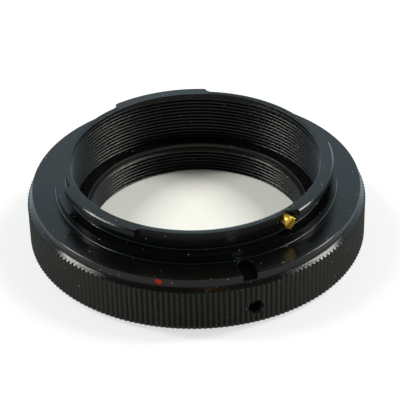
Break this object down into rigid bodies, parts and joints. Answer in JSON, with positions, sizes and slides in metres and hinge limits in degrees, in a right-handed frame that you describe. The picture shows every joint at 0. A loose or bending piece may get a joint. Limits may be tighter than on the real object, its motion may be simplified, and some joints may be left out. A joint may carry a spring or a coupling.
{
  "type": "lens mount adapter",
  "caption": "Knurled black ring that joins a screw-thread lens to a bayonet camera, with bayonet lugs, a lock-pin slot and a turnable thread ring held by set screws.",
  "frame": {"origin": "centre of the lens seat, the lower face of the thread ring", "axes": "+Z along the optical axis into the camera, -Y towards the side with the index dot, the lock-pin slot and the stop screw"},
  "size_m": [0.065, 0.065, 0.0163],
  "materials": {
    "black_anodise": "satin black anodised",
    "black_steel": "black oxide",
    "brass": "bright turned",
    "red_paint": "gloss paint"
  },
  "bodies": {
    "body": {"bayonet_body": "black_anodise", "stop_screw": "brass", "index_dot": "red_paint"},
    "ring": {"thread_ring": "black_anodise"},
    "screw_1": {"set_screw_1": "black_steel"},
    "screw_2": {"set_screw_2": "black_steel"},
    "screw_3": {"set_screw_3": "black_steel"}
  },
  "joints": [
    {"name": "ring_turn", "type": "hinge", "parent": "body", "child": "ring", "pos_m": [0, 0, 0], "axis": [0, 0, 1], "continuous": true},
    {"name": "screw_1_back_out", "type": "slide", "parent": "body", "child": "screw_1", "axis": [0.3156, -0.9489, 0], "range_m": [0, 0.0015]},
    {"name": "screw_2_back_out", "type": "slide", "parent": "body", "child": "screw_2", "axis": [0.6639, 0.7478, 0], "range_m": [0, 0.0015]},
    {"name": "screw_3_back_out", "type": "slide", "parent": "body", "child": "screw_3", "axis": [-0.9796, 0.2011, 0], "range_m": [0, 0.0015]}
  ]
}
